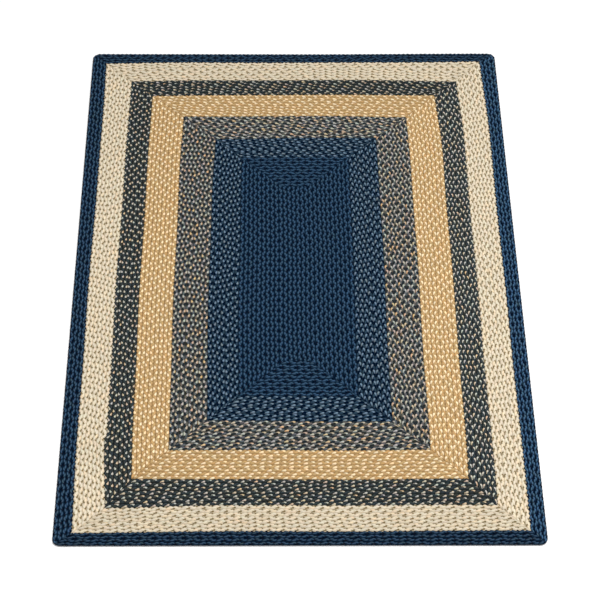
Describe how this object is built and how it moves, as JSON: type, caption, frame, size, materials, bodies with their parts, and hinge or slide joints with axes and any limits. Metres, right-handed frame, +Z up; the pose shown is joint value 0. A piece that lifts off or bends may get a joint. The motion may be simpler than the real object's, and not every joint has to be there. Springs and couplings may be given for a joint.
{
  "type": "braided rug",
  "caption": "Flat rectangular area rug of three-strand braid wound in mitred rounds and sewn edge to edge, with colour bands around a navy centre.",
  "frame": {"origin": "middle of the rug's underside, on the floor", "axes": "+Z up out of the floor, +Y along the long side towards the back, +X to the right along the short side"},
  "size_m": [1.2192, 1.8288, 0.008],
  "materials": {
    "navy_braid": "matt spun yarn, navy with darker strands",
    "cream_braid": "matt spun yarn, cream with one tan strand in three",
    "black_braid": "matt spun yarn, blue-black with one beige strand in three",
    "gold_braid": "matt spun yarn, gold-tan with one cream strand in three",
    "mixed_braid": "matt spun yarn, black, navy and beige strands",
    "slate_braid": "matt spun yarn, dark navy and grey-blue strands",
    "centre_braid": "matt spun yarn, navy with darker strands"
  },
  "bodies": {
    "root": {"border_band": "navy_braid", "cream_band": "cream_braid", "black_band": "black_braid", "gold_band": "gold_braid", "mixed_band": "mixed_braid", "slate_band": "slate_braid", "centre_panel": "centre_braid"}
  },
  "joints": []
}
